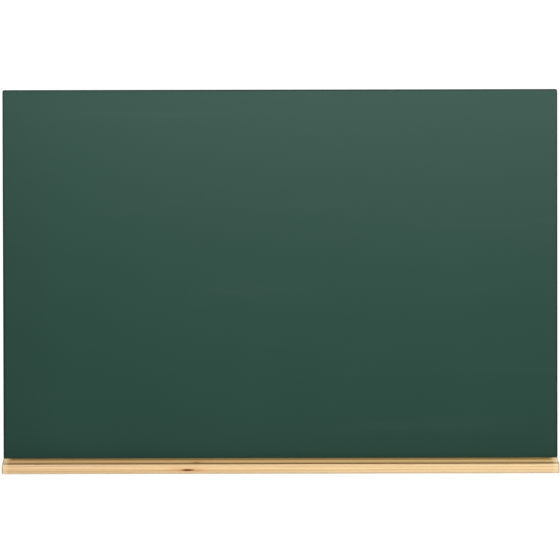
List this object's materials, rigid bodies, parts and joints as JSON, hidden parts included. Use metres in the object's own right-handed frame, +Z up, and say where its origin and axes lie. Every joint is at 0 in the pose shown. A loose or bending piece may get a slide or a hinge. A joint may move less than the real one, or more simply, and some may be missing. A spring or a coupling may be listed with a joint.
{
  "type": "wall chalkboard",
  "caption": "Frameless landscape chalkboard with a green writing face, a grooved pine chalk ledge along its lower edge, and swinging hanging rings on its back.",
  "frame": {"origin": "middle of the board's rear face, on the back sheet", "axes": "+X to the right of someone facing the writing side, -Y out of the writing side, +Y towards the wall, +Z up"},
  "size_m": [0.9, 0.0545, 0.6215],
  "materials": {
    "chalk_surface": "matte chalkboard coating on hardboard",
    "edge_band": "matte dark green edge band",
    "pine": "satin planed pine",
    "core_pine": "matte sawn pine",
    "plywood": "matte plywood",
    "honeycomb": "matte paper honeycomb",
    "zinc_steel": "satin zinc plated",
    "rubber": "matte rubber"
  },
  "bodies": {
    "board": {"writing_sheet": "chalk_surface", "back_sheet": "plywood", "edge_band_top": "edge_band", "edge_band_bottom": "edge_band", "edge_band_left": "edge_band", "edge_band_right": "edge_band", "core_top_rail": "core_pine", "core_bottom_rail": "core_pine", "core_left_stile": "core_pine", "core_right_stile": "core_pine", "core_batten_left": "core_pine", "core_batten_middle": "core_pine", "core_batten_right": "core_pine", "core_infill_1": "honeycomb", "core_infill_2": "honeycomb", "core_infill_3": "honeycomb", "core_infill_4": "honeycomb", "chalk_ledge": "pine", "ledge_screw_1": "zinc_steel", "ledge_screw_2": "zinc_steel", "ledge_screw_3": "zinc_steel", "ledge_screw_4": "zinc_steel", "ledge_screw_5": "zinc_steel", "hanger_strap_left": "zinc_steel", "hanger_strap_right": "zinc_steel", "hanger_screw_left": "zinc_steel", "hanger_screw_right": "zinc_steel", "wall_bumper_left": "rubber", "wall_bumper_right": "rubber"},
    "ring_left": {"hanger_ring_left": "zinc_steel"},
    "ring_right": {"hanger_ring_right": "zinc_steel"}
  },
  "joints": [
    {"name": "ring_left_swing", "type": "hinge", "parent": "board", "child": "ring_left", "pos_m": [-0.3, 0.00315, 0.238], "axis": [1, 0, 0], "range_deg": [0, 180]},
    {"name": "ring_right_swing", "type": "hinge", "parent": "board", "child": "ring_right", "pos_m": [0.3, 0.00315, 0.238], "axis": [1, 0, 0], "range_deg": [0, 180]}
  ]
}
